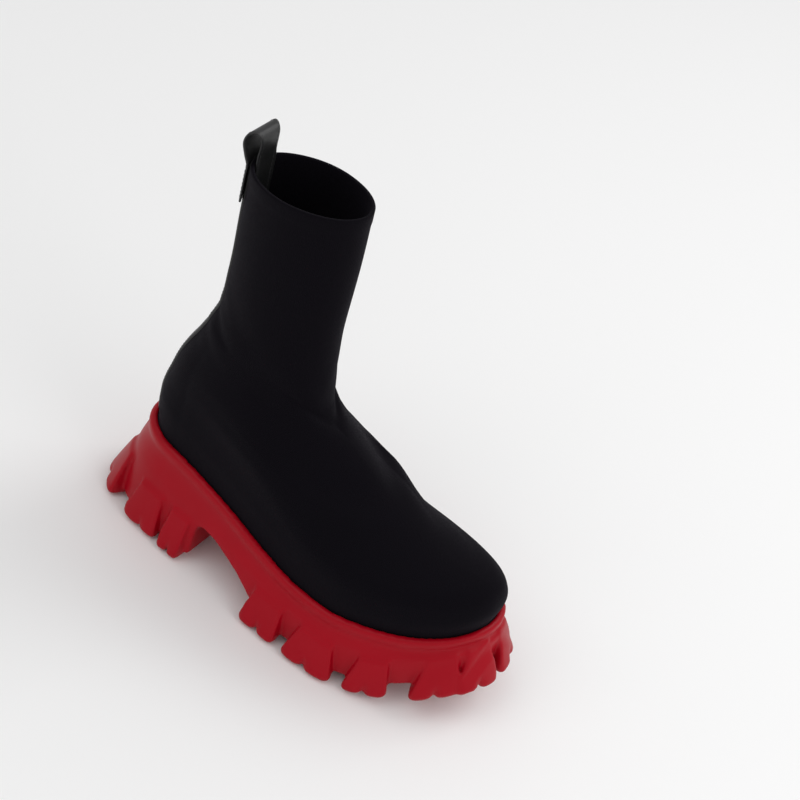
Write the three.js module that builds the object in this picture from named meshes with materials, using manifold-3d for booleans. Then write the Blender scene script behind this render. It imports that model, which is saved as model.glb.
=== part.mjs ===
// A pull-on knitted boot for the right foot, on a moulded sole with a block heel and deep side lugs.
// Lengths are millimetres. +X points to the toe, +Y to the inner side of the foot and +Z up.
// The origin is the middle of the heel's tread, on the floor.
import * as THREE from "three";
import { mergeVertices } from "three/addons/utils/BufferGeometryUtils.js";
import Module from "manifold-3d";

const wasm = await Module();
wasm.setup();

// Driving sizes: the foot
const footLength = 258; // the upper from heel to toe, at the sole's rim
const ballWidth = 99; // the upper at the ball of the foot, at the sole's rim
const instepHeight = 92; // the rim to the bend in front of the ankle
const shaftHeight = 139; // that bend to the collar
const toeSwing = 11; // how far the toe leans to the inner side
const wall = 2; // the knitted upper with its lining

// Driving sizes: the sole
const heelRise = 68.5; // the sole's rim above the floor, at the heel
const platformRise = 44.5; // the rim at the ball
const toeRise = 65; // the rim at the toe tip
const heelLength = 65; // the upper's heel point to the heel's front face
const archHeight = 34.5; // the sole's underside ahead of the heel, above the floor
const toeSpring = 25; // the tread's rise at the toe tip
const rimMargin = 5; // the sole's bead, outside the upper
const heelFlare = 4; // how much wider the heel's wall stands at its base than the platform's
const beadDepth = 8.5; // the bead and the hollow under it
const seatDepth = 5; // the rim above the seat that the upper stands on
const treadDepth = 7; // the tread below the sole's base

// Driving sizes: lugs and tread
const lugWidth = 28;
const lugHeight = 27; // a side lug's top above the floor
const lugProud = 4; // how far a lug stands out of the wall at its foot
const lugLedge = 1.6; // and at its top
const lugRoot = 6; // how deep a lug is rooted in the wall
const lugReach = 24; // how far a lug runs in under the sole
const grooveWidth = 4;
const grooveDepth = 2.5;
const padWidth = 27; // the tread's middle row, side to side
const padLength = 24;

// Driving sizes: insole, back stay and pull loop
const insoleThickness = 4;
const stayWidth = 20;
const stayThickness = 1.2;
const strapWidth = 24;
const strapThickness = 1.5;
const loopHeight = 22; // the pull loop above the collar
const loopLeg = 26; // how far it reaches down, outside and inside
const loopThroat = 9; // between its two legs above the collar, middle to middle
const gap = 0.3; // clearance between neighbouring pieces

const heelCentre = heelLength / 2;

// Smooth curve through a table's rows, read at any place along it. It never swings past its rows.
function along(rows, column, at, place = "at") {
  const last = rows.length - 1;
  if (at <= rows[0][place]) return rows[0][column];
  if (at >= rows[last][place]) return rows[last][column];
  let i = 0;
  while (at > rows[i + 1][place]) i++;
  const step = (k) => rows[k + 1][place] - rows[k][place];
  const slope = (k) => (rows[k + 1][column] - rows[k][column]) / step(k);
  const tangent = (k) => {
    if (k === 0 || k === last) return slope(k === 0 ? 0 : last - 1);
    const before = slope(k - 1);
    const after = slope(k);
    return before * after <= 0 ? 0 : (2 * before * after) / (before + after);
  };
  const h = step(i);
  const t = (at - rows[i][place]) / h;
  const rise = rows[i + 1][column] - rows[i][column];
  const a = tangent(i) * h - rise;
  const b = rise - tangent(i + 1) * h;
  return rows[i][column] + t * rise + t * (1 - t) * ((1 - t) * a + t * b);
}

const mix = THREE.MathUtils.lerp;

// The sole's rim, seen from the side. Each row is a share of the foot's length from the heel point;
// back is a share of the heel's rise over the platform, and front of the toe's.
const rimLine = [
  { at: 0, back: 1, front: 0 },
  { at: 0.16, back: 0.93, front: 0 },
  { at: 0.26, back: 0.8, front: 0 },
  { at: 0.36, back: 0.605, front: 0 },
  { at: 0.46, back: 0.3, front: 0 },
  { at: 0.56, back: 0.065, front: 0 },
  { at: 0.66, back: 0, front: 0.05 },
  { at: 0.76, back: 0, front: 0.17 },
  { at: 0.86, back: 0, front: 0.38 },
  { at: 0.95, back: 0, front: 0.71 },
  { at: 1, back: 0, front: 1 },
];
function rimHeight(x) {
  const at = x / footLength;
  const back = along(rimLine, "back", at) * (heelRise - platformRise);
  return platformRise + back + along(rimLine, "front", at) * (toeRise - platformRise);
}

// The tread's rise at the toe, as a share of the toe spring.
const springLine = [
  { at: 0.735, rise: 0 },
  { at: 0.78, rise: 0.04 },
  { at: 0.83, rise: 0.15 },
  { at: 0.88, rise: 0.34 },
  { at: 0.94, rise: 0.64 },
  { at: 1.0, rise: 1.0 },
  { at: 1.05, rise: 1.35 },
];
function treadHeight(x) {
  return toeSpring * along(springLine, "rise", x / footLength);
}

// How far the foot's middle line leans to the inner side.
function middle(x) {
  const t = THREE.MathUtils.clamp((x / footLength - 0.38) / 0.62, 0, 1);
  return toeSwing * Math.pow(t, 1.3);
}

// The upper's sections, from the sole's rim up to the collar. Each is a closed ring round the foot or leg.
// back and front are where the ring crosses the heel line and the toe-and-shin line: x is a share of the
// foot's length, up of the instep's height and leg of the shaft's. heel, waist and ball are half widths, as
// shares of half the ball width. backRound and frontRound are the shares of the ring that its ends take up,
// frontPower how blunt the front end is, hug how far the ring dips with the rim, and lift how far its sides
// rise over the ankle bones, as a share of the instep's height.
const sections = [
  { name: "rim", at: 0, backX: 0, backUp: 0, backLeg: 0,
    frontX: 1, frontUp: 0, frontLeg: 0, heel: 0.57, waist: 0.795, ball: 1,
    backRound: 0.14, frontRound: 0.41, frontPower: 2.2, hug: 1, lift: 0 },
  { name: "toe wall", at: 0.06, backX: -0.004, backUp: 0.12, backLeg: 0,
    frontX: 1.008, frontUp: 0.12, frontLeg: 0, heel: 0.59, waist: 0.815, ball: 1.02,
    backRound: 0.14, frontRound: 0.41, frontPower: 2.2, hug: 1, lift: 0 },
  { name: "toe edge", at: 0.12, backX: -0.005, backUp: 0.23, backLeg: 0,
    frontX: 0.995, frontUp: 0.245, frontLeg: 0, heel: 0.6, waist: 0.83, ball: 1.02,
    backRound: 0.14, frontRound: 0.42, frontPower: 2.15, hug: 1, lift: 0 },
  { name: "toe crown", at: 0.18, backX: -0.002, backUp: 0.32, backLeg: 0,
    frontX: 0.962, frontUp: 0.345, frontLeg: 0, heel: 0.6, waist: 0.83, ball: 1,
    backRound: 0.15, frontRound: 0.45, frontPower: 2.1, hug: 1, lift: 0 },
  { name: "toe top", at: 0.24, backX: 0.005, backUp: 0.42, backLeg: 0,
    frontX: 0.9, frontUp: 0.41, frontLeg: 0, heel: 0.595, waist: 0.83, ball: 0.965,
    backRound: 0.16, frontRound: 0.51, frontPower: 2.05, hug: 1, lift: 0 },
  { name: "vamp", at: 0.31, backX: 0.013, backUp: 0.53, backLeg: 0,
    frontX: 0.797, frontUp: 0.505, frontLeg: 0, heel: 0.59, waist: 0.825, ball: 0.92,
    backRound: 0.18, frontRound: 0.565, frontPower: 2, hug: 1, lift: 0 },
  { name: "ball top", at: 0.38, backX: 0.023, backUp: 0.635, backLeg: 0,
    frontX: 0.72, frontUp: 0.6, frontLeg: 0, heel: 0.595, waist: 0.79, ball: 0.865,
    backRound: 0.21, frontRound: 0.585, frontPower: 1.95, hug: 0.95, lift: 0 },
  { name: "low instep", at: 0.45, backX: 0.036, backUp: 0.74, backLeg: 0,
    frontX: 0.655, frontUp: 0.685, frontLeg: 0, heel: 0.605, waist: 0.75, ball: 0.785,
    backRound: 0.25, frontRound: 0.58, frontPower: 1.85, hug: 0.85, lift: -0.02 },
  { name: "instep", at: 0.52, backX: 0.052, backUp: 0.85, backLeg: 0,
    frontX: 0.589, frontUp: 0.805, frontLeg: 0, heel: 0.6, waist: 0.685, ball: 0.685,
    backRound: 0.3, frontRound: 0.58, frontPower: 1.7, hug: 0.7, lift: -0.01 },
  { name: "high instep", at: 0.58, backX: 0.065, backUp: 0.946, backLeg: 0,
    frontX: 0.52, frontUp: 0.89, frontLeg: 0, heel: 0.575, waist: 0.64, ball: 0.63,
    backRound: 0.35, frontRound: 0.59, frontPower: 1.6, hug: 0.5, lift: 0.025 },
  { name: "ankle", at: 0.63, backX: 0.077, backUp: 1, backLeg: 0.03,
    frontX: 0.464, frontUp: 0.945, frontLeg: 0, heel: 0.555, waist: 0.615, ball: 0.615,
    backRound: 0.4, frontRound: 0.585, frontPower: 1.7, hug: 0.3, lift: 0.075 },
  { name: "ankle top", at: 0.68, backX: 0.087, backUp: 1, backLeg: 0.11,
    frontX: 0.435, frontUp: 0.995, frontLeg: 0, heel: 0.55, waist: 0.6, ball: 0.605,
    backRound: 0.44, frontRound: 0.56, frontPower: 1.8, hug: 0.12, lift: 0.09 },
  { name: "low shaft", at: 0.74, backX: 0.092, backUp: 1, backLeg: 0.22,
    frontX: 0.421, frontUp: 1.01, frontLeg: 0.11, heel: 0.545, waist: 0.58, ball: 0.595,
    backRound: 0.48, frontRound: 0.52, frontPower: 1.9, hug: 0.03, lift: 0.055 },
  { name: "mid shaft", at: 0.82, backX: 0.088, backUp: 1, backLeg: 0.4,
    frontX: 0.4, frontUp: 1, frontLeg: 0.38, heel: 0.545, waist: 0.575, ball: 0.575,
    backRound: 0.5, frontRound: 0.5, frontPower: 1.95, hug: 0, lift: 0.01 },
  { name: "high shaft", at: 0.91, backX: 0.08, backUp: 1, backLeg: 0.62,
    frontX: 0.395, frontUp: 1, frontLeg: 0.71, heel: 0.55, waist: 0.575, ball: 0.565,
    backRound: 0.5, frontRound: 0.5, frontPower: 1.95, hug: 0, lift: 0 },
  { name: "collar", at: 1, backX: 0.073, backUp: 1, backLeg: 0.87,
    frontX: 0.385, frontUp: 1, frontLeg: 1, heel: 0.555, waist: 0.565, ball: 0.555,
    backRound: 0.5, frontRound: 0.5, frontPower: 1.95, hug: 0, lift: 0 },
];
// Where along a ring its heel, waist and ball widths are read.
const widthStations = [
  { at: 0.12, of: "heel" },
  { at: 0.42, of: "waist" },
  { at: 0.7, of: "ball" },
];

// A rounded end: 0 at the tip and 1 past the end's own length.
function roundedEnd(distance, length, power) {
  const short = THREE.MathUtils.clamp(1 - distance / length, 0, 1);
  return Math.pow(1 - Math.pow(short, power), 1 / power);
}

// A point on the upper's outside. turn runs once round the ring, from the heel along the outer side to the
// toe at a half and back along the inner side. level is 0 at the rim and 1 at the collar.
function upperPoint(turn, level) {
  const row = {};
  for (const key of Object.keys(sections[0])) {
    if (key !== "name") row[key] = along(sections, key, level);
  }
  const t = (1 - Math.cos(2 * Math.PI * turn)) / 2;
  const backX = row.backX * footLength;
  const frontX = row.frontX * footLength;
  const backZ = rimHeight(backX) + row.backUp * instepHeight + row.backLeg * shaftHeight;
  const frontZ = rimHeight(frontX) + row.frontUp * instepHeight + row.frontLeg * shaftHeight;
  const x = mix(backX, frontX, t);
  const dip = rimHeight(x) - mix(rimHeight(backX), rimHeight(frontX), t);
  const z = mix(backZ, frontZ, t) + row.hug * dip + row.lift * instepHeight * 4 * t * (1 - t);
  const widths = widthStations.map((s) => ({ at: s.at, half: row[s.of] }));
  const half = (along(widths, "half", t) * ballWidth) / 2;
  const ends = roundedEnd(t, row.backRound, 2) * roundedEnd(1 - t, row.frontRound, row.frontPower);
  const side = THREE.MathUtils.euclideanModulo(turn, 1) < 0.5 ? -1 : 1;
  return new THREE.Vector3(x, middle(x) + side * half * ends, z);
}

// The way out of the upper's surface.
function upperNormal(turn, level) {
  const d = 1e-3;
  const low = Math.max(level - d, 0);
  const high = Math.min(level + d, 1);
  const round = upperPoint(turn + d, level).sub(upperPoint(turn - d, level));
  const up = upperPoint(turn, high).sub(upperPoint(turn, low));
  return round.cross(up).normalize();
}

const offUpper = (turn, level, out) =>
  upperPoint(turn, level).addScaledVector(upperNormal(turn, level), out);

// The upper's outline at the rim, seen from above, moved outwards.
function outline(turn, out) {
  const d = 1e-3;
  const p = upperPoint(turn, 0);
  const way = upperPoint(turn + d, 0).sub(upperPoint(turn - d, 0));
  const length = Math.hypot(way.x, way.y);
  return new THREE.Vector2(p.x + (out * way.y) / length, p.y - (out * way.x) / length);
}

// A ring of points round that outline, at a height worked out from x.
const ringPoints = 56;
const ringLevels = 26; // rings from the rim to the collar
const outlineRing = (out, height, more = () => 0) =>
  Array.from({ length: ringPoints }, (_, i) => {
    const turn = i / ringPoints;
    const p = outline(turn, out + more(outline(turn, 0).x));
    return new THREE.Vector3(p.x, p.y, height(p.x));
  });
const seatHeight = (x) => rimHeight(x) - seatDepth;

// A closed mesh from points and faces of three or four corners.
function solidMesh(points, faces) {
  const geometry = new THREE.BufferGeometry();
  const places = points.flatMap((p) => [p.x, p.y, p.z]);
  geometry.setAttribute("position", new THREE.Float32BufferAttribute(places, 3));
  geometry.setIndex(faces.flatMap((f) => (f.length === 3 ? f : [f[0], f[1], f[2], f[0], f[2], f[3]])));
  return geometry;
}

// A solid between two grids of points, such as a bent plate: front faces out and back faces in.
function plate(front, back) {
  const rows = front.length;
  const columns = front[0].length;
  const points = [...front.flat(), ...back.flat()];
  const f = (i, j) => i * columns + j;
  const b = (i, j) => rows * columns + f(i, j);
  const faces = [];
  for (let i = 0; i + 1 < rows; i++) {
    for (let j = 0; j + 1 < columns; j++) {
      faces.push([f(i, j), f(i, j + 1), f(i + 1, j + 1), f(i + 1, j)]);
      faces.push([b(i, j), b(i + 1, j), b(i + 1, j + 1), b(i, j + 1)]);
    }
    faces.push([f(i, 0), f(i + 1, 0), b(i + 1, 0), b(i, 0)]);
    faces.push([f(i + 1, columns - 1), f(i, columns - 1), b(i, columns - 1), b(i + 1, columns - 1)]);
  }
  for (let j = 0; j + 1 < columns; j++) {
    faces.push([f(0, j + 1), f(0, j), b(0, j), b(0, j + 1)]);
    faces.push([f(rows - 1, j), f(rows - 1, j + 1), b(rows - 1, j + 1), b(rows - 1, j)]);
  }
  return solidMesh(points, faces);
}

// A solid from a stack of rings with the same number of points, each counter-clockwise from above. Its ends
// are closed by strips from one side of the ring to the other.
function stack(rings) {
  const count = rings[0].length;
  const points = rings.flat();
  const faces = [];
  for (let k = 0; k + 1 < rings.length; k++) {
    for (let i = 0; i < count; i++) {
      const j = (i + 1) % count;
      faces.push([k * count + i, k * count + j, (k + 1) * count + j, (k + 1) * count + i]);
    }
  }
  const top = (rings.length - 1) * count;
  for (let i = 0; i < count / 2; i++) {
    const other = (k) => (count - k) % count;
    const corners = [i, i + 1, other(i + 1), other(i)].filter((c, k, all) => all.indexOf(c) === k);
    if (corners.length < 3) continue;
    faces.push(corners.map((c) => top + c));
    faces.push([...corners].reverse());
  }
  return solidMesh(points, faces);
}

// Six-sided block between a lower and an upper four-cornered outline.
function block(lower, upper) {
  return solidMesh([...lower, ...upper], [
    [3, 2, 1, 0], [4, 5, 6, 7], [0, 1, 5, 4], [1, 2, 6, 5], [2, 3, 7, 6], [3, 0, 4, 7],
  ]);
}

// Joining and cutting
function toSolid(geometry) {
  const bare = geometry.index ? geometry.toNonIndexed() : geometry.clone();
  bare.deleteAttribute("normal");
  bare.deleteAttribute("uv");
  const merged = mergeVertices(bare, 1e-4);
  const made = new wasm.Manifold(
    new wasm.Mesh({
      numProp: 3,
      vertProperties: merged.attributes.position.array,
      triVerts: new Uint32Array(merged.index.array),
    }),
  );
  if (made.volume() <= 0) throw new Error("a piece is inside out");
  return made;
}
function toGeometry(solid) {
  const mesh = solid.getMesh();
  const geometry = new THREE.BufferGeometry();
  geometry.setAttribute("position", new THREE.BufferAttribute(mesh.vertProperties, 3));
  geometry.setIndex(new THREE.BufferAttribute(mesh.triVerts, 1));
  return geometry;
}

// Upper: one knitted wall, open at the collar and underneath.
function makeUpper() {
  const foot = (x) => seatHeight(x) + gap;
  const outside = [outlineRing(0, foot)];
  const inside = [outlineRing(-wall, foot)];
  for (let k = 0; k <= ringLevels; k++) {
    const ring = (out) =>
      Array.from({ length: ringPoints }, (_, i) => offUpper(i / ringPoints, k / ringLevels, out));
    outside.push(ring(0));
    inside.push(ring(-wall));
  }
  const count = outside.length;
  const points = [...outside.flat(), ...inside.flat()];
  const o = (k, i) => k * ringPoints + (i % ringPoints);
  const n = (k, i) => (count + k) * ringPoints + (i % ringPoints);
  const faces = [];
  for (let i = 0; i < ringPoints; i++) {
    for (let k = 0; k + 1 < count; k++) {
      faces.push([o(k, i), o(k, i + 1), o(k + 1, i + 1), o(k + 1, i)]);
      faces.push([n(k, i + 1), n(k, i), n(k + 1, i), n(k + 1, i + 1)]);
    }
    faces.push([o(0, i + 1), o(0, i), n(0, i), n(0, i + 1)]);
    faces.push([o(count - 1, i), o(count - 1, i + 1), n(count - 1, i + 1), n(count - 1, i)]);
  }
  return solidMesh(points, faces);
}

// The sole's wall from its base up over the rim. out is a share of the rim's margin outside the upper, up a
// share of the height from base to rim, and drop a share of the bead's depth below that.
const wallRows = [
  { name: "base", out: 2.1, up: 0, drop: 0 },
  { name: "low wall", out: 1.98, up: 0.25, drop: 0 },
  { name: "mid wall", out: 1.6, up: 0.55, drop: 0 },
  { name: "under the bead", out: 0.86, up: 1, drop: 1 },
  { name: "bead", out: 0.98, up: 1, drop: 0.64 },
  { name: "bead crown", out: 1.0, up: 1, drop: 0.38 },
  { name: "bead top", out: 0.88, up: 1, drop: 0.14 },
  { name: "rim", out: 0.5, up: 1, drop: 0 },
];
const plainWall = wallRows.slice(0, 4);

// The underside from the heel's front face to the ball: at is a share of the foot's length ahead of that
// face, and z a share of the arch's height.
const archLine = [
  { at: 0, z: 1 },
  { at: 0.02, z: 1.01 },
  { at: 0.06, z: 0.98 },
  { at: 0.1, z: 0.88 },
  { at: 0.15, z: 0.72 },
  { at: 0.2, z: 0.47 },
  { at: 0.245, z: 0.27 },
  { at: 0.28, z: 0.12 },
];

// The side lugs. outer and inner are where each stands on that side of the foot, as shares of the foot's
// length. wide, top and proud are shares of the lugs' width, height and standing out, and narrow is the
// top's share of its own width.
const lugs = [
  { name: "waist", outer: 0.533, inner: 0.56, wide: 1.1, narrow: 0.8, top: 1, proud: 1 },
  { name: "ball", outer: 0.68, inner: 0.7, wide: 1.28, narrow: 0.66, top: 1, proud: 0.88 },
  { name: "toe side", outer: 0.82, inner: 0.84, wide: 1, narrow: 0.64, top: 1, proud: 0.88 },
  { name: "toe corner", outer: 0.946, inner: 0.95, wide: 0.97, narrow: 0.6, top: 1, proud: 1.2 },
  { name: "toe front", outer: 0.992, inner: 0.992, wide: 0.8, narrow: 0.65, top: 1, proud: 1.8 },
  { name: "heel front", outer: 0.22, inner: 0.22, wide: 0.67, narrow: 0.9, top: 1.22, proud: 0.62 },
  { name: "heel side", outer: 0.12, inner: 0.12, wide: 1, narrow: 0.7, top: 1.22, proud: 0.2 },
  { name: "heel corner", outer: 0.013, inner: 0.013, wide: 0.79, narrow: 0.65, top: 1.3, proud: 1.5 },
];

// The tread's middle row, as shares of the foot's length and of the pads' width and length.
const pads = [
  { name: "heel", at: heelCentre / footLength, wide: 1, long: 1 },
  { name: "waist", at: 0.57, wide: 0.9, long: 0.7 },
  { name: "ball", at: 0.68, wide: 1.1, long: 0.8 },
  { name: "toes", at: 0.79, wide: 1.1, long: 0.8 },
  { name: "toe tip", at: 0.89, wide: 0.9, long: 0.7 },
];

// The turn at which the outline passes a share of the foot's length, on the outer or inner side.
function turnAt(share, side) {
  const half = Math.acos(1 - 2 * share) / (2 * Math.PI);
  return side < 0 ? half : 1 - half;
}

// How much further out the heel's wall stands, at a share of its height up to the rim.
const flareOut = (x, up) => heelFlare * (1 - up) * (1 - THREE.MathUtils.smoothstep(x, 0, 1.5 * heelLength));

// How far the wall stands outside the upper's outline, at a height above the floor.
function wallOut(x, height) {
  const base = treadHeight(x) + treadDepth;
  const up = THREE.MathUtils.clamp((height - base) / (rimHeight(x) - base), 0, 1);
  return along(plainWall, "out", up, "up") * rimMargin + flareOut(x, up);
}

// One side lug: a cleat on the wall, and the tread block below it with a groove across.
function makeLug(lug, side) {
  const share = side < 0 ? lug.outer : lug.inner;
  const turn = turnAt(share, side);
  const origin = outline(turn, 0);
  const ahead = outline(turn + 1e-3, 0).sub(outline(turn - 1e-3, 0)).normalize();
  const away = new THREE.Vector2(ahead.y, -ahead.x);
  const top = lug.top * lugHeight;
  const footOut = wallOut(share * footLength, 0);
  const topOut = wallOut(share * footLength, treadHeight(share * footLength) + top);
  // Four corners, the inner two and then the outer two: so far out, so wide and so high.
  const corners = (inner, outer) => {
    const corner = (row, way) => {
      const x = origin.x + (ahead.x * way * row.wide) / 2 + away.x * row.out;
      const y = origin.y + (ahead.y * way * row.wide) / 2 + away.y * row.out;
      return new THREE.Vector3(x, y, treadHeight(x) + row.up);
    };
    return [corner(inner, -1), corner(outer, -1), corner(outer, 1), corner(inner, 1)];
  };
  const wide = lug.wide * lugWidth;
  const proud = footOut + lug.proud * lugProud;
  const cleatFoot = treadDepth / 3;
  const cleat = block(
    corners(
      { out: footOut - lugRoot, wide, up: cleatFoot },
      { out: proud, wide, up: cleatFoot },
    ),
    corners(
      { out: topOut - lugRoot, wide: wide * lug.narrow, up: top + 2 * lugLedge },
      { out: topOut + lugLedge, wide: wide * lug.narrow, up: top },
    ),
  );
  const inward = footOut - lugReach;
  const step = treadDepth / 7;
  const tread = block(
    corners(
      { out: inward, wide: 0.7 * wide, up: 0 },
      { out: proud - step, wide: wide - 2 * step, up: 0 },
    ),
    corners(
      { out: inward, wide: 0.8 * wide, up: treadDepth + 2 * step },
      { out: proud - step, wide: wide - step, up: treadDepth + 2 * step },
    ),
  );
  const groove = (up, width) =>
    corners({ out: inward - lugRoot, wide: width, up }, { out: proud + lugRoot, wide: width, up });
  const cut = block(groove(-grooveDepth, grooveWidth), groove(grooveDepth, 0.7 * grooveWidth));
  return toSolid(cleat).add(toSolid(tread)).subtract(toSolid(cut));
}

// One pad of the tread's middle row, narrower at the floor than at its root.
function makePad(pad) {
  const x = pad.at * footLength;
  const face = (up, share) => {
    const halfLong = (pad.long * padLength * share) / 2;
    const halfWide = (pad.wide * padWidth * share) / 2;
    const corner = (a, b) => {
      const at = x + a * halfLong;
      return new THREE.Vector3(at, middle(x) + b * halfWide, treadHeight(at) + up);
    };
    return [corner(-1, -1), corner(1, -1), corner(1, 1), corner(-1, 1)];
  };
  return toSolid(block(face(0, 0.85), face(treadDepth * 1.3, 1)));
}

// Sole: platform, block heel, lugs and the seat for the upper, moulded in one.
function makeOutsole() {
  const base = (x) => treadHeight(x) + treadDepth;
  const rings = wallRows.map((row) =>
    outlineRing(
      row.out * rimMargin,
      (x) => mix(base(x), rimHeight(x), row.up) - row.drop * beadDepth,
      (x) => flareOut(x, row.up),
    ),
  );
  const seat = [
    outlineRing(gap, seatHeight),
    outlineRing(gap, (x) => rimHeight(x) + seatDepth),
  ];
  let sole = toSolid(stack(rings)).subtract(toSolid(stack(seat)));

  const below = -treadDepth;
  const arch = new THREE.Shape();
  arch.moveTo(heelLength, below);
  for (const row of archLine) arch.lineTo(heelLength + row.at * footLength, archHeight * row.z);
  arch.lineTo(heelLength + archLine.at(-1).at * footLength, below);
  const cutter = new THREE.ExtrudeGeometry(arch, { depth: 2 * ballWidth, bevelEnabled: false });
  cutter.translate(0, 0, -ballWidth);
  cutter.rotateX(Math.PI / 2);
  sole = sole.subtract(toSolid(cutter));

  for (const lug of lugs) {
    for (const side of [-1, 1]) sole = sole.add(makeLug(lug, side));
  }
  for (const pad of pads) sole = sole.add(makePad(pad));
  return toGeometry(sole);
}

// Insole: a thin plate that follows the seat inside the upper.
function makeInsole() {
  const inset = -wall - gap;
  return stack([
    outlineRing(inset, (x) => seatHeight(x) + gap),
    outlineRing(inset, (x) => seatHeight(x) + gap + insoleThickness),
  ]);
}

// The turn at which a strap's edge lies, so far across from the heel line at this level.
function turnAcross(across, level) {
  const steps = 8;
  const way = across < 0 ? -1 : 1;
  let turn = 0;
  for (let i = 0; i < steps; i++) {
    const d = 1e-3;
    const speed = upperPoint(turn + way * d, level).distanceTo(upperPoint(turn, level)) / d;
    turn += across / steps / speed;
  }
  return turn;
}

// The level at which the heel line has this height.
function levelAt(height) {
  let low = 0;
  let high = 1;
  for (let i = 0; i < 30; i++) {
    const level = (low + high) / 2;
    if (upperPoint(0, level).z < height) low = level;
    else high = level;
  }
  return (low + high) / 2;
}

// A row of points across a strap that lies on the upper's back.
const strapPoints = 7;
const acrossBack = (level, out, width) =>
  Array.from({ length: strapPoints }, (_, i) => {
    const across = width * (i / (strapPoints - 1) - 0.5);
    return offUpper(turnAcross(across, level), level, out);
  });

// Back stay: a strip over the back seam, from the sole's rim to the collar.
function makeBackStay() {
  const face = (out) => {
    const rows = [acrossBack(levelAt(rimHeight(0) + 2 * gap), out, stayWidth)];
    for (let k = 1; k <= ringLevels; k++) rows.push(acrossBack(k / ringLevels, out, stayWidth));
    return rows;
  };
  return plate(face(gap + stayThickness), face(gap));
}

// The pull loop's bow above the collar: up is a share of the loop's height and out of half its throat.
const bow = [
  { name: "outer leg", up: 0.3, out: 0.8 },
  { name: "outer side", up: 0.62, out: 1 },
  { name: "outer shoulder", up: 0.86, out: 0.85 },
  { name: "outer crown", up: 0.97, out: 0.45 },
  { name: "crown", up: 1, out: 0 },
  { name: "inner crown", up: 0.97, out: -0.45 },
  { name: "inner shoulder", up: 0.86, out: -0.85 },
  { name: "inner side", up: 0.62, out: -1 },
  { name: "inner leg", up: 0.3, out: -0.8 },
];

// Pull loop: a strap that runs up the stay, bows over the collar and goes down inside.
function makePullLoop() {
  const collar = upperPoint(0, 1).z;
  const legRows = 4;
  const outerOut = 2 * gap + stayThickness + strapThickness / 2;
  const innerOut = -wall - gap - strapThickness / 2;
  const middleOut = (outerOut + innerOut) / 2;
  const back = upperNormal(0, 1).setZ(0).normalize();
  const path = [];
  for (let i = 0; i <= legRows; i++) {
    const level = levelAt(collar - loopLeg * (1 - i / legRows));
    path.push(acrossBack(level, outerOut, strapWidth));
  }
  for (const row of bow) {
    const out = middleOut + (row.out * loopThroat) / 2;
    path.push(
      acrossBack(1, out, strapWidth).map((p) => {
        const flat = upperPoint(0, 1).addScaledVector(back, out);
        const x = mix(p.x, flat.x, Math.min(2 * row.up, 1));
        return new THREE.Vector3(x, p.y, collar + row.up * loopHeight);
      }),
    );
  }
  for (let i = 0; i <= legRows; i++) {
    const level = levelAt(collar - (loopLeg * i) / legRows);
    path.push(acrossBack(level, innerOut, strapWidth));
  }
  // Each face lies half the strap's thickness off that path, square to it.
  const face = (out) =>
    path.map((row, i) => {
      const before = path[Math.max(i - 1, 0)];
      const after = path[Math.min(i + 1, path.length - 1)];
      return row.map((p, j) => {
        const up = after[j].clone().sub(before[j]);
        const across = row[Math.min(j + 1, row.length - 1)].clone().sub(row[Math.max(j - 1, 0)]);
        return p.clone().addScaledVector(across.cross(up).normalize(), out);
      });
    });
  return plate(face(strapThickness / 2), face(-strapThickness / 2));
}

const material = (color, roughness) => new THREE.MeshStandardMaterial({ color, roughness, metalness: 0 });
const knit = material(0x111013, 0.9);
const strap = material(0x1b1a1c, 0.55);
const stay = material(0x161517, 0.6);
const board = material(0x1c1b1d, 0.85);
const redRubber = material(0xb3061f, 0.5);

const boot = new THREE.Group();
boot.position.x = -heelCentre;
function addPiece(name, geometry, finish) {
  const mesh = new THREE.Mesh(geometry, finish);
  mesh.name = name;
  boot.add(mesh);
}
addPiece("upper", makeUpper(), knit);
addPiece("outsole", makeOutsole(), redRubber);
addPiece("insole", makeInsole(), board);
addPiece("back_stay", makeBackStay(), stay);
addPiece("pull_loop", makePullLoop(), strap);

const part = new THREE.Group();
part.add(boot);
export default part;
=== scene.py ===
import math

import bmesh
import bpy
import numpy as np
from mathutils import Matrix, Vector


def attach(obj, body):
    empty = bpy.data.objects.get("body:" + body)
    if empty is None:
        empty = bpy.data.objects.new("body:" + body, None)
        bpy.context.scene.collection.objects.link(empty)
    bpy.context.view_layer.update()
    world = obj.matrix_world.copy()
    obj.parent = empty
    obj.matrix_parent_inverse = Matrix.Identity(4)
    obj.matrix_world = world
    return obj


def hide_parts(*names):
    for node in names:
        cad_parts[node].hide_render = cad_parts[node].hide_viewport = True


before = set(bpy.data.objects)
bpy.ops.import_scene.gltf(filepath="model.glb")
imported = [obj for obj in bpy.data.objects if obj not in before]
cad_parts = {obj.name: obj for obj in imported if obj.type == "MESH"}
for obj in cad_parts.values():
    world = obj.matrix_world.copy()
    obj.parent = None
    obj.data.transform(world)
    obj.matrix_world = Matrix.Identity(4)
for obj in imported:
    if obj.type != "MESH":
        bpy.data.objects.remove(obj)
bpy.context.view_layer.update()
print("stage: frame loaded")

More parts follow.
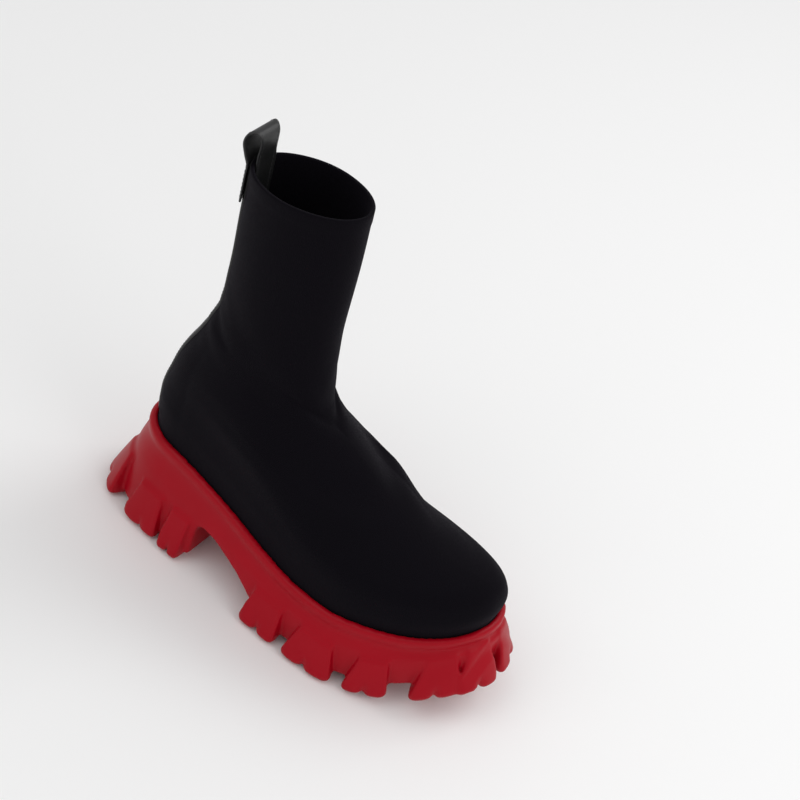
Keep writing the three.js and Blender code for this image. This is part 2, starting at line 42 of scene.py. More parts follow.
foot = {
    "length": 258.0,  # the upper from heel to toe, at the sole's rim
    "ballWidth": 99.0,  # at the sole's rim
    "instepHeight": 92.0,  # rim to the bend in front of the ankle
    "shaftHeight": 139.0,  # that bend to the collar
    "toeSwing": 11.0,  # the toe's lean to the inner side
    "heelRise": 68.5,  # the rim above the floor at the heel
    "platformRise": 44.5,  # and at the ball
    "toeRise": 65.0,  # and at the toe tip
    "toeSpring": 25.0,  # the tread's rise at the toe tip
    "heelLength": 65.0,  # heel point to the heel's front face
    "seatDepth": 5.0,  # the rim above the seat
    "treadDepth": 7.0,
    "wall": 2.0,
}
heelCentre = foot["heelLength"] / 2
metre = 0.001
fullTurn = 2 * math.pi


# A smooth curve through a table's values, which never swings past them. Places or values may be arrays.
def curveThrough(places, values, at):
    spans = range(len(places) - 1)
    slopes = [(values[k + 1] - values[k]) / (places[k + 1] - places[k]) for k in spans]
    tangents = [slopes[0]]
    for before, after in zip(slopes, slopes[1:]):
        total = np.where(before + after == 0, 1, before + after)
        tangents.append(np.where(before * after > 0, 2 * before * after / total, 0))
    tangents.append(slopes[-1])
    result = values[0] + 0 * at
    for k in spans:
        span = places[k + 1] - places[k]
        t = np.clip((at - places[k]) / span, 0, 1)
        rise = values[k + 1] - values[k]
        leave = tangents[k] * span - rise
        arrive = rise - tangents[k + 1] * span
        bend = t * (1 - t) * ((1 - t) * leave + t * arrive)
        result = np.where(at >= places[k], values[k] + t * rise + bend, result)
    return result


def mix(low, high, share):
    return low + (high - low) * share


def smoothStep(low, high, value):
    t = np.clip((value - low) / (high - low), 0, 1)
    return t * t * (3 - 2 * t)


rimLine = {
    "at": [0, 0.16, 0.26, 0.36, 0.46, 0.56, 0.66, 0.76, 0.86, 0.95, 1],
    "back": [1, 0.93, 0.8, 0.605, 0.3, 0.065, 0, 0, 0, 0, 0],
    "front": [0, 0, 0, 0, 0, 0, 0.05, 0.17, 0.38, 0.71, 1],
}
springLine = {
    "at": [0.735, 0.78, 0.83, 0.88, 0.94, 1, 1.05],
    "rise": [0, 0.04, 0.15, 0.34, 0.64, 1, 1.35],
}


def rimHeight(x):
    at = x / foot["length"]
    back = curveThrough(rimLine["at"], rimLine["back"], at) * (foot["heelRise"] - foot["platformRise"])
    front = curveThrough(rimLine["at"], rimLine["front"], at) * (foot["toeRise"] - foot["platformRise"])
    return foot["platformRise"] + back + front


def treadHeight(x):
    return foot["toeSpring"] * curveThrough(springLine["at"], springLine["rise"], x / foot["length"])


def middle(x):
    t = np.clip((x / foot["length"] - 0.38) / 0.62, 0, 1)
    return foot["toeSwing"] * t**1.3


# The upper's sections from the sole's rim to the collar, a row for each
sectionColumns = (
    "at backX backUp backLeg frontX frontUp frontLeg heel waist ball "
    "backRound frontRound frontPower hug lift"
).split()
sections = [
    (0, 0, 0, 0, 1, 0, 0, 0.57, 0.795, 1, 0.14, 0.41, 2.2, 1, 0),  # rim
    (0.06, -0.004, 0.12, 0, 1.008, 0.12, 0, 0.59, 0.815, 1.02, 0.14, 0.41, 2.2, 1, 0),  # toe wall
    (0.12, -0.005, 0.23, 0, 0.995, 0.245, 0, 0.6, 0.83, 1.02, 0.14, 0.42, 2.15, 1, 0),  # toe edge
    (0.18, -0.002, 0.32, 0, 0.962, 0.345, 0, 0.6, 0.83, 1, 0.15, 0.45, 2.1, 1, 0),  # toe crown
    (0.24, 0.005, 0.42, 0, 0.9, 0.41, 0, 0.595, 0.83, 0.965, 0.16, 0.51, 2.05, 1, 0),  # toe top
    (0.31, 0.013, 0.53, 0, 0.797, 0.505, 0, 0.59, 0.825, 0.92, 0.18, 0.565, 2, 1, 0),  # vamp
    (0.38, 0.023, 0.635, 0, 0.72, 0.6, 0, 0.595, 0.79, 0.865, 0.21, 0.585, 1.95, 0.95, 0),  # ball top
    (0.45, 0.036, 0.74, 0, 0.655, 0.685, 0, 0.605, 0.75, 0.785, 0.25, 0.58, 1.85, 0.85, -0.02),  # low instep
    (0.52, 0.052, 0.85, 0, 0.589, 0.805, 0, 0.6, 0.685, 0.685, 0.3, 0.58, 1.7, 0.7, -0.01),  # instep
    (0.58, 0.065, 0.946, 0, 0.52, 0.89, 0, 0.575, 0.64, 0.63, 0.35, 0.59, 1.6, 0.5, 0.025),  # high instep
    (0.63, 0.077, 1, 0.03, 0.464, 0.945, 0, 0.555, 0.615, 0.615, 0.4, 0.585, 1.7, 0.3, 0.075),  # ankle
    (0.68, 0.087, 1, 0.11, 0.435, 0.995, 0, 0.55, 0.6, 0.605, 0.44, 0.56, 1.8, 0.12, 0.09),  # ankle top
    (0.74, 0.092, 1, 0.22, 0.421, 1.01, 0.11, 0.545, 0.58, 0.595, 0.48, 0.52, 1.9, 0.03, 0.055),  # low shaft
    (0.82, 0.088, 1, 0.4, 0.4, 1, 0.38, 0.545, 0.575, 0.575, 0.5, 0.5, 1.95, 0, 0.01),  # mid shaft
    (0.91, 0.08, 1, 0.62, 0.395, 1, 0.71, 0.55, 0.575, 0.565, 0.5, 0.5, 1.95, 0, 0),  # high shaft
    (1, 0.073, 1, 0.87, 0.385, 1, 1, 0.555, 0.565, 0.555, 0.5, 0.5, 1.95, 0, 0),  # collar
]
sectionTable = dict(zip(sectionColumns, zip(*sections)))
widthStations = [0.12, 0.42, 0.7]


# A rounded end: 0 at the tip and 1 past the end's own length
def roundedEnd(distance, length, power):
    short = np.clip(1 - distance / length, 0, 1)
    return (1 - short**power) ** (1 / power)


# A point on the upper's outside. turn goes once round from the heel, outer side first, and level from rim
# to collar.
def upperPoint(turn, level):
    turn, level = np.asarray(turn, float), np.asarray(level, float)
    row = {name: curveThrough(sectionTable["at"], column, level) for name, column in sectionTable.items()}
    t = (1 - np.cos(fullTurn * turn)) / 2
    backX, frontX = row["backX"] * foot["length"], row["frontX"] * foot["length"]
    backRim, frontRim = rimHeight(backX), rimHeight(frontX)
    backZ = backRim + row["backUp"] * foot["instepHeight"] + row["backLeg"] * foot["shaftHeight"]
    frontZ = frontRim + row["frontUp"] * foot["instepHeight"] + row["frontLeg"] * foot["shaftHeight"]
    x = mix(backX, frontX, t)
    dip = rimHeight(x) - mix(backRim, frontRim, t)
    half = curveThrough(widthStations, [row["heel"], row["waist"], row["ball"]], t) * foot["ballWidth"] / 2
    ends = roundedEnd(t, row["backRound"], 2) * roundedEnd(1 - t, row["frontRound"], row["frontPower"])
    side = np.where(np.mod(turn, 1) < 0.5, -1, 1)
    saddle = row["lift"] * foot["instepHeight"] * 4 * t * (1 - t)
    z = mix(backZ, frontZ, t) + row["hug"] * dip + saddle
    x, y, z = np.broadcast_arrays(x, middle(x) + side * half * ends, z)
    return np.stack([x, y, z], -1)


def unit(vectors):
    return vectors / np.maximum(np.linalg.norm(vectors, axis=-1, keepdims=True), 1e-12)


def upperNormal(turn, level):
    d = 1e-3
    turn, level = np.asarray(turn, float), np.asarray(level, float)
    ring = upperPoint(turn + d, level) - upperPoint(turn - d, level)
    climb = upperPoint(turn, np.minimum(level + d, 1)) - upperPoint(turn, np.maximum(level - d, 0))
    return unit(np.cross(ring, climb))


# Soft troughs and ridges of the worn knit. Each runs between two places on the upper; wide and deep are
# millimetres, and a negative depth is a ridge.
creases = {
    "turnLength": 230.0,  # millimetres once round, near the ankle
    "levelLength": 250.0,  # millimetres from rim to collar
    "swell": 0.22,  # the slack knit's slow waves
    "rows": [
        {"from": (0.36, 0.665), "to": (0.5, 0.625), "wide": 4.5, "deep": 1.3},
        {"from": (0.64, 0.665), "to": (0.5, 0.625), "wide": 4.5, "deep": 1.3},
        {"from": (0.38, 0.715), "to": (0.5, 0.68), "wide": 6.0, "deep": -0.8},
        {"from": (0.62, 0.715), "to": (0.5, 0.68), "wide": 6.0, "deep": -0.8},
        {"from": (0.4, 0.76), "to": (0.5, 0.735), "wide": 5.0, "deep": 0.6},
        {"from": (0.6, 0.76), "to": (0.5, 0.735), "wide": 5.0, "deep": 0.6},
        {"from": (0.03, 0.69), "to": (0.17, 0.64), "wide": 4.5, "deep": 0.9},
        {"from": (-0.03, 0.69), "to": (-0.17, 0.64), "wide": 4.5, "deep": 0.9},
        {"from": (0.04, 0.64), "to": (0.19, 0.585), "wide": 6.0, "deep": -0.6},
        {"from": (-0.04, 0.64), "to": (-0.19, 0.585), "wide": 6.0, "deep": -0.6},
        {"from": (0.05, 0.77), "to": (0.16, 0.72), "wide": 6.0, "deep": -0.45},
        {"from": (0.6, 0.4), "to": (0.69, 0.375), "wide": 19.0, "deep": -6.0},
        {"from": (0.42, 0.43), "to": (0.58, 0.45), "wide": 9.0, "deep": 0.45},
        {"from": (0.4, 0.33), "to": (0.47, 0.36), "wide": 8.0, "deep": 0.3},
    ],
}


def creaseOffset(turn, level):
    turn, level = np.broadcast_arrays(np.asarray(turn, float), np.asarray(level, float))
    offset = np.zeros(turn.shape)
    for row in creases["rows"]:
        (startTurn, startLevel), (endTurn, endLevel) = row["from"], row["to"]
        sideways = (endTurn - startTurn) * creases["turnLength"]
        upwards = (endLevel - startLevel) * creases["levelLength"]
        along = np.array([sideways, upwards])
        away = (np.mod(turn - startTurn + 0.5, 1) - 0.5) * creases["turnLength"]
        up = (level - startLevel) * creases["levelLength"]
        share = np.clip((away * along[0] + up * along[1]) / (along @ along), 0, 1)
        distance = np.hypot(away - share * along[0], up - share * along[1])
        taper = 1 - 0.5 * np.abs(2 * share - 1)
        offset -= row["deep"] * taper * np.exp(-((distance / row["wide"]) ** 2))
    swell = np.sin(fullTurn * 3 * turn + 9 * level) * np.sin(11 * level + 1.3)
    fade = smoothStep(0.1, 0.3, level) * (1 - smoothStep(0.85, 0.97, level))
    return offset + creases["swell"] * swell * fade


def offUpper(turn, level, out):
    out = np.asarray(out, float) + creaseOffset(turn, level)
    return upperPoint(turn, level) + upperNormal(turn, level) * out[..., None]


# The upper's outline at the rim from above, moved outwards
def outline(turn, out):
    d = 1e-3
    turn = np.asarray(turn, float)
    point = upperPoint(turn, 0.0)[..., :2]
    way = unit((upperPoint(turn + d, 0.0) - upperPoint(turn - d, 0.0))[..., :2])
    return point + out * np.stack([way[..., 1], -way[..., 0]], -1)


def outlineRing(count, out, height):
    flat = outline(np.arange(count) / count, out)
    return np.column_stack([flat, height(flat[:, 0])])


def seatHeight(x):
    return rimHeight(x) - foot["seatDepth"]


def asMesh(name, points, faces, uv=None):
    points = (np.asarray(points, float).reshape(-1, 3) - [heelCentre, 0, 0]) * metre
    mesh = bpy.data.meshes.new(name)
    mesh.from_pydata(points.tolist(), [], [[int(c) for c in face] for face in faces])
    if uv is not None:
        corner = np.empty(len(mesh.loops), int)
        mesh.loops.foreach_get("vertex_index", corner)
        layer = mesh.uv_layers.new(name="clothMap")
        layer.data.foreach_set("uv", (np.asarray(uv, float).reshape(-1, 2) * metre)[corner].ravel())
    mesh.polygons.foreach_set("use_smooth", [True] * len(mesh.polygons))
    mesh.update()
    piece = bpy.data.objects.new(name, mesh)
    bpy.context.scene.collection.objects.link(piece)
    return piece


def finishPiece(piece, finish, nodes=()):
    piece.data.materials.clear()
    piece.data.materials.append(finish)
    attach(piece, "root")
    if nodes:
        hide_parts(*nodes)


# A wire is a socket that does maths: its expressions add Math nodes.
class Wire:
    def __init__(self, finish, socket):
        self.finish = finish
        self.socket = socket

    def maths(self, operation, *others):
        return self.finish.maths(operation, self, *others)

    def __add__(self, other):
        return self.maths("ADD", other)

    def __sub__(self, other):
        return self.maths("SUBTRACT", other)

    def __rsub__(self, other):
        return self.finish.maths("SUBTRACT", other, self)

    def __mul__(self, other):
        return self.maths("MULTIPLY", other)

    def __truediv__(self, other):
        return self.maths("DIVIDE", other)

    __radd__ = __add__
    __rmul__ = __mul__


# One material. node() adds any node with its settings first and its inputs after.
class Finish:
    def __init__(self, name, constants):
        self.material = bpy.data.materials.new(name)
        self.material.use_nodes = True
        self.tree = self.material.node_tree
        self.shader = self.tree.nodes["Principled BSDF"]
        for socket, value in constants.items():
            self.shader.inputs[socket].default_value = value

    def node(self, kind, settings=None, inputs=None, output=0):
        made = self.tree.nodes.new(kind)
        for name, value in (settings or {}).items():
            if name == "stops":
                for element, (position, color) in zip(made.color_ramp.elements, value):
                    element.position = position
                    element.color = color
            else:
                setattr(made, name, value)
        for name, value in (inputs or {}).items():
            if isinstance(value, Wire):
                self.tree.links.new(value.socket, made.inputs[name])
            else:
                made.inputs[name].default_value = value
        return Wire(self, made.outputs[output])

    def maths(self, operation, *values):
        return self.node("ShaderNodeMath", {"operation": operation}, dict(enumerate(values)))

    def place(self):
        return self.node("ShaderNodeTexCoord", output="Object")

    def noise(self, scale, detail=2.0, rough=0.5, vector=None):
        inputs = {"Scale": scale, "Detail": detail, "Roughness": rough, "Vector": vector or self.place()}
        return self.node("ShaderNodeTexNoise", {"noise_dimensions": "3D"}, inputs, "Fac")

    def clothMap(self):
        uv = self.node("ShaderNodeUVMap", {"uv_map": "clothMap"})
        parts = self.tree.nodes.new("ShaderNodeSeparateXYZ")
        self.tree.links.new(uv.socket, parts.inputs[0])
        return Wire(self, parts.outputs["X"]), Wire(self, parts.outputs["Y"])

    def blend(self, share, low, high):
        made = self.tree.nodes.new("ShaderNodeMix")
        made.data_type = "RGBA"
        self.tree.links.new(share.socket, made.inputs["Factor"])
        made.inputs[6].default_value = low
        made.inputs[7].default_value = high
        return Wire(self, made.outputs[2])

    def bump(self, height, distance, strength=1.0, below=None):
        inputs = {"Height": height, "Distance": distance, "Strength": strength}
        if below is not None:
            inputs["Normal"] = below
        return self.node("ShaderNodeBump", None, inputs)

    def feed(self, **sockets):
        names = {"color": "Base Color", "roughness": "Roughness", "normal": "Normal", "coat": "Coat Weight"}
        for name, wire in sockets.items():
            self.tree.links.new(wire.socket, self.shader.inputs[names[name]])
        return self.material


knitLook = {
    "dark": (0.0019, 0.0014, 0.0026, 1),
    "light": (0.0040, 0.0031, 0.0054, 1),
    "wale": 0.00115,  # metres across one column of stitches
    "course": 0.0009,  # and up one row
    "relief": 0.00016,
}


def makeKnit():
    finish = Finish("blackKnit", {
        "Sheen Weight": 0.03, "Sheen Roughness": 0.45, "Sheen Tint": (0.8, 0.72, 0.9, 1),
        "Specular IOR Level": 0.06,
    })
    u, v = finish.clothMap()
    side = ((u / knitLook["wale"]).maths("FRACT") - 0.5).maths("ABSOLUTE") * 2
    rib = 1 - side * side
    course = ((v / knitLook["course"] + side * 0.55) * fullTurn).maths("COSINE")
    stitch = rib * (course * 0.28 + 0.72)
    fuzz = finish.noise(2600, 2, 0.6)
    cloudy = finish.noise(24, 3, 0.55)
    rows = finish.noise(90, 2, 0.5)
    # The stitches' relief also sets the colour, darker between the ribs: painted shade in the grooves. The
    # cloudy and fuzz parts are the yarn's own uneven tone.
    tone = stitch * 0.45 + cloudy * 0.4 + fuzz * 0.15
    normal = finish.bump(stitch + fuzz * 0.25, knitLook["relief"], 0.8)
    normal = finish.bump(rows, 0.0006, 0.12, normal)
    return finish.feed(
        color=finish.blend(tone, knitLook["dark"], knitLook["light"]),
        roughness=cloudy * 0.12 + 0.8,
        normal=normal,
    )


upperLook = {
    "around": 232,
    "upward": 176,
    "inside": 88,
    "hem": 6.0,  # the collar's turned edge, from its top
    "hemProud": 0.35,
    "lipSteps": 6,  # across the collar's round top
    "foot": 0.3,  # clear of the seat
}


def makeUpper(finish):
    around = upperLook["around"]
    turns = np.arange(around) / around
    wall = foot["wall"]

    def standing(x):
        return seatHeight(x) + upperLook["foot"]

    def hemOut(level):
        top = upperLook["hem"] / creases["levelLength"]
        return upperLook["hemProud"] * smoothStep(1 - top, 1 - 0.72 * top, level)

    outside = np.linspace(0, 1, upperLook["upward"])[:, None]
    inside = np.linspace(1, 0, upperLook["inside"])[:, None]
    rows = [outlineRing(around, 0, standing)]
    rows += list(offUpper(turns, outside, hemOut(outside) + 0 * turns))
    top = rows[-1]
    outward = upperNormal(turns, 1.0)
    climb = unit(upperPoint(turns, 1.0) - upperPoint(turns, 0.98))
    radius = (wall + upperLook["hemProud"]) / 2
    for step in range(1, upperLook["lipSteps"]):
        angle = math.pi * step / upperLook["lipSteps"]
        rows.append(top + outward * radius * (math.cos(angle) - 1) + climb * 0.6 * radius * math.sin(angle))
    rows += list(offUpper(turns, inside, -wall + 0 * inside * turns))
    rows.append(outlineRing(around, -wall, standing))
    grid = np.stack(rows)
    count = len(rows)
    faces = []
    for k in range(count):
        for i in range(around):
            j, m = (i + 1) % around, (k + 1) % count
            faces.append((k * around + i, k * around + j, m * around + j, m * around + i))
    steps = np.linalg.norm(np.roll(grid, -1, 1) - grid, axis=-1)
    walked = np.concatenate([np.zeros((count, 1)), np.cumsum(steps, 1)[:, :-1]], 1)
    across = np.minimum(walked, steps.sum(1, keepdims=True) - walked)
    climbed = np.linalg.norm(np.diff(grid, axis=0), axis=-1)
    upward = np.concatenate([np.zeros((1, around)), np.cumsum(climbed, 0)], 0)
    piece = asMesh("knittedUpper", grid, faces, np.stack([across, upward], -1))
    finishPiece(piece, finish, ["upper"])


makeUpper(makeKnit())
print("stage: upper")

# The sole as a field: below zero inside, and about its distance from the surface in millimetres.
soleLook = {
    "step": 1.2,  # the grid's spacing
    "rimMargin": 5.0,
    "heelFlare": 4.0,
    "beadDepth": 8.5,
    "archHeight": 34.5,
    "lugWidth": 28.0,
    "lugHeight": 27.0,
    "heelFront": 3.0,  # the heel's front face ahead of the heel's length
    "lugFoot": 15.0,  # how far out the lugs stand at the floor
    "lugProud": 4.0,  # and how much more a proud one does
    "lugLedge": 2.4,  # the step at a lug's top
    "lugHang": 0.28,  # the share of the toe's spring that the outer lugs hang down
    "toeRound": 4.0,  # how round a lug's lower edges are
    "lumpDepth": 4.5,  # how deep the hollow between a lug's two lumps is
    "lumpReach": 14.0,  # and how far up it runs
    "lugReach": 24.0,  # how far in under the sole a lug runs
    "lugInner": 0.25,  # the share of its width that it loses there
    "lugSlope": 0.6,  # how steeply its top falls outwards
    "grooveWidth": 4.0,
    "grooveDepth": 2.5,
    "padWidth": 27.0,
    "padLength": 24.0,
    "edge": 1.4,  # how round the moulded edges are
    "fillet": 2.2,  # and the corners where a lug leaves the wall
    "archFillet": 7.0,
}
# The wall from base to rim: out is a share of the rim's margin, up of the height, drop of the bead's depth
wallColumns = {
    "out": [1.75, 1.7, 1.46, 0.86, 0.98, 1.0, 0.88, 0.5],
    "up": [0, 0.25, 0.55, 1, 1, 1, 1, 1],
    "drop": [0, 0, 0, 1, 0.64, 0.38, 0.14, 0],
}
# The underside ahead of the heel: at is a share of the foot's length and z of the arch's height
archLine = {
    "at": [0, 0.02, 0.06, 0.1, 0.15, 0.2, 0.245, 0.28],
    "z": [1, 1.01, 0.98, 0.88, 0.72, 0.47, 0.27, 0.12],
}
lugColumns = "name outer inner wide narrow top proud".split()
lugRows = [
    ("waist", 0.533, 0.56, 1.1, 0.8, 1, 1),
    ("ball", 0.68, 0.7, 1.28, 0.66, 1, 0.88),
    ("toeSide", 0.82, 0.84, 1, 0.64, 1, 0.88),
    ("toeCorner", 0.946, 0.95, 0.97, 0.6, 1, 1.2),
    ("toeFront", 0.992, 0.992, 0.8, 0.65, 1, 1.8),
    ("heelFront", 0.22, 0.22, 0.67, 0.9, 1.22, 0.62),
    ("heelSide", 0.12, 0.12, 1, 0.7, 1.22, 0.2),
    ("heelCorner", 0.013, 0.013, 0.79, 0.65, 1.3, 1.5),
]
lugs = [dict(zip(lugColumns, row)) for row in lugRows]
pads = [
    {"name": "heel", "at": heelCentre / foot["length"], "wide": 1, "long": 1},
    {"name": "waist", "at": 0.57, "wide": 0.9, "long": 0.7},
    {"name": "ball", "at": 0.68, "wide": 1.1, "long": 0.8},
    {"name": "toes", "at": 0.79, "wide": 1.1, "long": 0.8},
    {"name": "toeTip", "at": 0.89, "wide": 0.9, "long": 0.7},
]


# The larger or the smaller of two fields, with their corner rounded
def smoothMax(a, b, radius):
    return np.maximum(a, b) + np.maximum(radius - np.abs(a - b), 0) ** 2 / (4 * radius)


def smoothMin(a, b, radius):
    return -smoothMax(-a, -b, radius)


def allOf(radius, first, *others):
    for other in others:
        first = smoothMax(first, other, radius)
    return first


# How far the wall stands outside the upper's outline at a height
def wallOut(x, z):
    base, rim = treadHeight(x) + foot["treadDepth"], rimHeight(x)
    rows = zip(wallColumns["up"], wallColumns["drop"])
    places = [mix(base, rim, up) - drop * soleLook["beadDepth"] for up, drop in rows]
    up = np.clip((z - base) / (rim - base), 0, 1)
    flare = soleLook["heelFlare"] * (1 - up) * (1 - smoothStep(0, 1.5 * foot["heelLength"], x))
    return curveThrough(places, wallColumns["out"], z) * soleLook["rimMargin"] + flare


# For each place on the floor: how far it is outside the upper's outline, and how far along the outline
def outlineFields(xs, ys, count=1600):
    ring = outline(np.arange(count) / count, 0.0)
    lengths = np.linalg.norm(np.roll(ring, -1, 0) - ring, axis=1)
    walked = np.concatenate([[0], np.cumsum(lengths)])
    ahead = np.roll(ring, -1, 0) - np.roll(ring, 1, 0)
    outward = unit(np.column_stack([ahead[:, 1], -ahead[:, 0]]))
    forward = unit(ahead)
    away = np.empty((len(xs), len(ys)))
    along = np.empty_like(away)
    for i, x in enumerate(xs):
        toX, toY = x - ring[:, 0][:, None], ys[None, :] - ring[:, 1][:, None]
        nearest = np.argmin(toX**2 + toY**2, 0)
        offX, offY = x - ring[nearest, 0], ys - ring[nearest, 1]
        side = np.sign(offX * outward[nearest, 0] + offY * outward[nearest, 1])
        away[i] = side * np.hypot(offX, offY)
        shift = np.clip(offX * forward[nearest, 0] + offY * forward[nearest, 1], -0.4, 0.4)
        along[i] = walked[nearest] + shift
    return away, along, walked


def turnAt(share, side):
    half = math.acos(1 - 2 * share) / fullTurn
    return half if side < 0 else 1 - half


def cornerBox(mask, room=2):
    spots = np.argwhere(mask)
    low, high = np.maximum(spots.min(0) - room, 0), spots.max(0) + room + 1
    return slice(low[0], high[0]), slice(low[1], high[1])


def lugField(lug, offset, away, x, z):
    look = soleLook
    hang = look["lugHang"] * treadHeight(x)
    h = z - treadHeight(x) + hang
    top, wide = lug["top"] * look["lugHeight"] + hang, lug["wide"] * look["lugWidth"]
    share = np.clip(h / top, 0, 1)
    footOut = look["lugFoot"] + wallOut(x, 0 * x) - wallColumns["out"][0] * look["rimMargin"]
    proud = footOut + lug["proud"] * look["lugProud"]
    topOut = wallOut(x, treadHeight(x) + top)
    toe = 1 - smoothStep(0, look["toeRound"] * 1.6, h)
    lump = np.abs(np.sin(math.pi * np.clip(offset / (wide / 2), -1, 1)))
    hollow = look["lumpDepth"] * (1 - lump) ** 2
    face = mix(proud, topOut + look["lugLedge"], share) - look["toeRound"] * toe**2
    face = face - hollow * (1 - smoothStep(0, look["lumpReach"], h))
    inner = smoothStep(0, look["lugReach"], footOut - away)
    halfWide = wide / 2 * mix(1, lug["narrow"], share) * (1 - look["lugInner"] * inner)
    halfWide = halfWide - 0.7 * look["toeRound"] * toe**2
    sole = h - hollow
    roof = (h - top - (face - away) * look["lugSlope"]) * 0.85
    innerEnd = (footOut - look["lugReach"]) - away
    shape = allOf(look["edge"], np.abs(offset) - halfWide, away - face, innerEnd, roof, -sole)
    groove = np.hypot(offset / (look["grooveWidth"] / 2), h / look["grooveDepth"]) - 1
    return smoothMax(shape, -groove * look["grooveDepth"] * 0.8, 0.8)


def padField(pad, x, y, z):
    h = z - treadHeight(x)
    deep = 1.3 * foot["treadDepth"]
    shrink = mix(0.85, 1, np.clip(h / deep, 0, 1))
    long = np.abs(x - pad["at"] * foot["length"]) - pad["long"] * soleLook["padLength"] * shrink / 2
    wide = np.abs(y - middle(x)) - pad["wide"] * soleLook["padWidth"] * shrink / 2
    return allOf(soleLook["edge"], long, wide, -h, h - deep)


def soleField(xs, ys, zs):
    look, edge = soleLook, soleLook["edge"]
    away, along, walked = outlineFields(xs, ys)
    x, y, z = xs[:, None, None], ys[None, :, None], zs[None, None, :]
    rim, base = rimHeight(x), treadHeight(x) + foot["treadDepth"]
    away3 = away[:, :, None]
    field = allOf(edge, away3 - wallOut(x, z), z - rim, base - z)
    heelFace = foot["heelLength"] + soleLook["heelFront"]
    archZ = look["archHeight"] * curveThrough(
        [heelFace + at * foot["length"] for at in archLine["at"]], archLine["z"], x
    )
    archEnd = heelFace + archLine["at"][-1] * foot["length"]
    arch = allOf(look["archFillet"], heelFace - x, (z - archZ) * 0.9)
    arch = np.maximum(arch, x - archEnd)
    field = smoothMax(field, -arch, 2.0)
    total = walked[-1]
    for lug in lugs:
        for side in (-1, 1):
            turn = turnAt(lug["outer"] if side < 0 else lug["inner"], side)
            at = np.interp(turn, np.linspace(0, 1, len(walked)), walked)
            offset = np.mod(along - at + total / 2, total) - total / 2
            near = (np.abs(offset) < 24) & (away > -20) & (away < 28)
            block = cornerBox(near)
            part = lugField(lug, offset[block][:, :, None], away3[block], x[block[0]], z)
            field[block] = smoothMin(field[block], part, look["fillet"])
    for pad in pads:
        field = smoothMin(field, padField(pad, x, y, z), look["fillet"])
    seat = allOf(0.8, away3 - 0.3, seatHeight(x) - z)
    return smoothMax(field, -seat, 0.8)


# A skin of quads over the places where a field passes zero. Each mixed cell gets one point, the mean of
# its crossings.
def skinField(field, xs, ys, zs):
    low = np.array([xs[0], ys[0], zs[0]])
    step = xs[1] - xs[0]
    inside = field < 0
    wide, deep, tall = (count - 1 for count in inside.shape)
    corners = sum(
        inside[i : i + wide, j : j + deep, k : k + tall].astype(int)
        for i in (0, 1) for j in (0, 1) for k in (0, 1)
    )
    cells = np.argwhere((corners > 0) & (corners < 8))
    number = np.full(corners.shape, -1)
    number[tuple(cells.T)] = np.arange(len(cells))
    total, count = np.zeros((len(cells), 3)), np.zeros((len(cells), 1))
    axes = np.eye(3, dtype=int)
    for a in range(3):
        for i in (0, 1):
            for j in (0, 1):
                start = i * axes[(a + 1) % 3] + j * axes[(a + 2) % 3]
                near = field[tuple((cells + start).T)]
                far = field[tuple((cells + start + axes[a]).T)]
                crosses = (near < 0) != (far < 0)
                share = np.where(crosses, near / np.where(crosses, near - far, 1), 0)
                total += np.where(crosses[:, None], start + share[:, None] * axes[a], 0)
                count += crosses[:, None]
    points = low + step * (cells + total / count)
    faces = []
    for a in range(3):
        b, c = axes[(a + 1) % 3], axes[(a + 2) % 3]
        far = np.roll(inside, -1, a)
        edges = np.argwhere(inside != far)
        last = np.array(inside.shape) - 1
        edges = edges[(edges[:, a] < last[a]) & np.all(edges > 0, 1) & np.all(edges < last, 1)]
        ring = [number[tuple((edges - shift).T)] for shift in (b + c, c, 0 * b, b)]
        quads = np.column_stack(ring)
        leaves = inside[tuple(edges.T)]
        faces.append(np.where(leaves[:, None], quads, quads[:, ::-1]))
    return points, np.concatenate(faces)


def makeSole(finish):
    step = soleLook["step"]
    xs = np.arange(-28.0, 290.0, step)
    ys = np.arange(-70.0, 80.0, step)
    zs = np.arange(-2.5 * step, 70.0, step)
    points, faces = skinField(soleField(xs, ys, zs), xs, ys, zs)
    points[:, 2] = np.maximum(points[:, 2], 0)
    piece = asMesh("mouldedSole", points, faces)
    finishPiece(piece, finish, ["outsole"])
    print("sole triangles", 2 * len(faces))


rubberLook = {
    "base": (0.38, 0.0006, 0.0100, 1),
    "deep": (0.31, 0.0008, 0.0075, 1),
}


def makeRubber():
    finish = Finish("redRubber", {
        "Specular IOR Level": 0.1, "Coat Weight": 0.08, "Coat Roughness": 0.25,
    })
    cloudy = finish.noise(18, 3, 0.5)
    skin = finish.noise(1400, 2, 0.6)
    ripple = finish.noise(160, 2, 0.5)
    normal = finish.bump(skin, 0.00005, 0.5)
    normal = finish.bump(ripple, 0.0004, 0.12, normal)
    return finish.feed(
        color=finish.blend(cloudy, rubberLook["deep"], rubberLook["base"]),
        roughness=cloudy * 0.1 + skin * 0.06 + 0.34,
        normal=normal,
    )


makeSole(makeRubber())
print("stage: sole")


